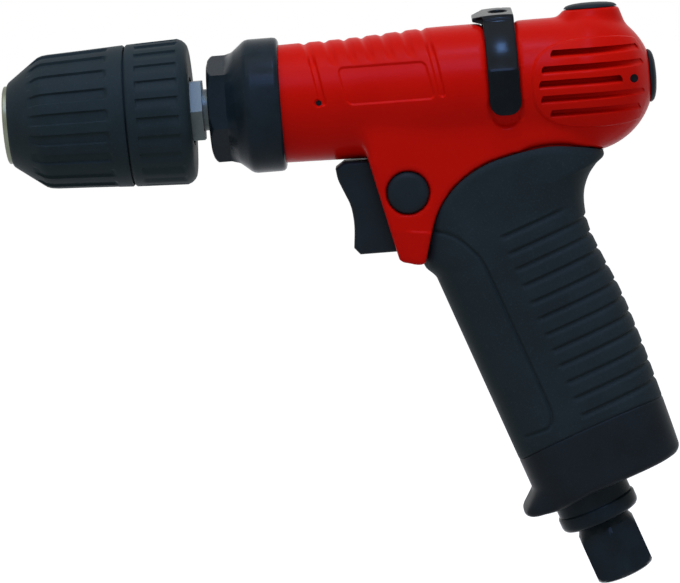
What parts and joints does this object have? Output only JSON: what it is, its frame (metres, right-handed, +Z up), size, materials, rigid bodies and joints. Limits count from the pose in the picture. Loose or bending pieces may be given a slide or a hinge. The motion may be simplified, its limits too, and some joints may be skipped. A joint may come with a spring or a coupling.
{
  "type": "pistol grip air drill",
  "caption": "Reversible air drill with a pistol grip, keyless chuck, planetary gear, vane motor, hanger strap, sprung trigger, push-through reverse button and threaded air inlet.",
  "frame": {"origin": "on the spindle axis, halfway along the gripping faces of the chuck jaws", "axes": "+X back along the spindle axis, from the chuck's nose to the back plug; +Z up, away from the handle; Y = 0 is the middle plane, and the trigger hand's thumb side is +Y"},
  "size_m": [0.1905, 0.0428, 0.1708],
  "materials": {
    "housing_paint": "gloss red paint on cast aluminium",
    "chuck_polymer": "satin black moulded",
    "chuck_steel": "turned steel",
    "black_steel": "blackened, oiled",
    "bright_steel": "machined",
    "bearing_steel": "ground and polished",
    "gear_steel": "cut and hardened",
    "motor_iron": "ground",
    "vane_resin": "fabric laminate",
    "seal_rubber": "moulded",
    "grip_rubber": "ribbed, satin",
    "cap_plastic": "fine grain",
    "trigger_plastic": "moulded black",
    "valve_brass": "turned",
    "muffler_felt": "pressed felt",
    "strap_paint": "black enamel on strip steel"
  },
  "bodies": {
    "housing": {"housing": "housing_paint", "clamp_nut": "black_steel", "spindle_seal": "seal_rubber", "ring_gear": "gear_steel", "ring_gear_pins": "black_steel", "plug_lock_screws": "black_steel", "spindle_bearing_outer_ring": "bearing_steel", "spindle_bearing_balls": "bearing_steel", "front_end_plate": "motor_iron", "rear_end_plate": "motor_iron", "front_rotor_bearing_outer_ring": "bearing_steel", "front_rotor_bearing_balls": "bearing_steel", "rear_rotor_bearing_outer_ring": "bearing_steel", "rear_rotor_bearing_balls": "bearing_steel", "motor_cylinder": "motor_iron", "cylinder_dowel": "bright_steel", "stack_washer": "bright_steel", "top_plug": "black_steel", "rear_plug": "black_steel", "hanger_strap": "strap_paint", "grip_sleeve": "grip_rubber", "handle_end_cap": "cap_plastic", "muffler": "muffler_felt", "inlet_collar": "black_steel", "inlet_bushing": "black_steel", "inlet_screen": "valve_brass", "stem_bush": "valve_brass", "valve_seat": "valve_brass", "valve_spring": "bright_steel", "reverse_stop_pin": "bright_steel", "reverse_rod_seals": "seal_rubber"},
    "spindle": {"spindle": "bright_steel", "planet_pins": "bright_steel", "planet_retainer": "bright_steel", "spindle_bearing_inner_ring": "bearing_steel", "chuck_body": "chuck_steel", "chuck_rear_sleeve": "chuck_polymer", "chuck_screw": "black_steel"},
    "chuck_sleeve": {"chuck_front_sleeve": "chuck_polymer", "chuck_nut": "gear_steel"},
    "jaw_1": {"chuck_jaw_1": "chuck_steel"},
    "jaw_2": {"chuck_jaw_2": "chuck_steel"},
    "jaw_3": {"chuck_jaw_3": "chuck_steel"},
    "planet_1": {"planet_gear_1": "gear_steel"},
    "planet_2": {"planet_gear_2": "gear_steel"},
    "planet_3": {"planet_gear_3": "gear_steel"},
    "rotor": {"rotor": "gear_steel", "rotor_vanes": "vane_resin", "front_rotor_bearing_inner_ring": "bearing_steel", "rear_rotor_bearing_inner_ring": "bearing_steel"},
    "trigger": {"trigger": "trigger_plastic", "throttle_valve": "bright_steel"},
    "reverse": {"reverse_rod": "bright_steel", "reverse_button_left": "trigger_plastic", "reverse_button_right": "trigger_plastic"}
  },
  "joints": [
    {"name": "spindle_spin", "type": "hinge", "parent": "housing", "child": "spindle", "pos_m": [0, 0, 0], "axis": [1, 0, 0], "continuous": true},
    {"name": "rotor_spin", "type": "hinge", "parent": "housing", "child": "rotor", "pos_m": [0.12, 0, 0], "axis": [1, 0, 0], "continuous": true},
    {"name": "planet_1_spin", "type": "hinge", "parent": "spindle", "child": "planet_1", "pos_m": [0.08, 0, 0.0081], "axis": [1, 0, 0], "continuous": true},
    {"name": "planet_2_spin", "type": "hinge", "parent": "spindle", "child": "planet_2", "pos_m": [0.08, -0.00701, -0.00405], "axis": [1, 0, 0], "continuous": true},
    {"name": "planet_3_spin", "type": "hinge", "parent": "spindle", "child": "planet_3", "pos_m": [0.08, 0.00701, -0.00405], "axis": [1, 0, 0], "continuous": true},
    {"name": "sleeve_turn", "type": "hinge", "parent": "spindle", "child": "chuck_sleeve", "pos_m": [0.01, 0, 0], "axis": [-1, 0, 0], "range_deg": [-1390, 2430]},
    {"name": "jaw_1_slide", "type": "slide", "parent": "spindle", "child": "jaw_1", "axis": [0.9659, 0, 0.2588], "range_m": [-0.00773, 0.01352]},
    {"name": "jaw_2_slide", "type": "slide", "parent": "spindle", "child": "jaw_2", "axis": [0.9659, -0.2241, -0.1294], "range_m": [-0.00773, 0.01352]},
    {"name": "jaw_3_slide", "type": "slide", "parent": "spindle", "child": "jaw_3", "axis": [0.9659, 0.2241, -0.1294], "range_m": [-0.00773, 0.01352]},
    {"name": "trigger_slide", "type": "slide", "parent": "housing", "child": "trigger", "axis": [1, 0, 0], "range_m": [0, 0.0035], "stiffness_N_per_m": 600, "springref_m": -0.012, "deforming": ["valve_spring"]},
    {"name": "reverse_slide", "type": "slide", "parent": "housing", "child": "reverse", "axis": [0, -1, 0], "range_m": [0, 0.0035]}
  ],
  "couplings": [
    {"joint": "rotor_spin", "follows": "spindle_spin", "ratio": 4.5},
    {"joint": "planet_1_spin", "follows": "spindle_spin", "ratio": -2.8},
    {"joint": "planet_2_spin", "follows": "spindle_spin", "ratio": -2.8},
    {"joint": "planet_3_spin", "follows": "spindle_spin", "ratio": -2.8},
    {"joint": "jaw_1_slide", "follows": "sleeve_turn", "m_per_rad": 0.00031831},
    {"joint": "jaw_2_slide", "follows": "sleeve_turn", "m_per_rad": 0.00031831},
    {"joint": "jaw_3_slide", "follows": "sleeve_turn", "m_per_rad": 0.00031831}
  ]
}
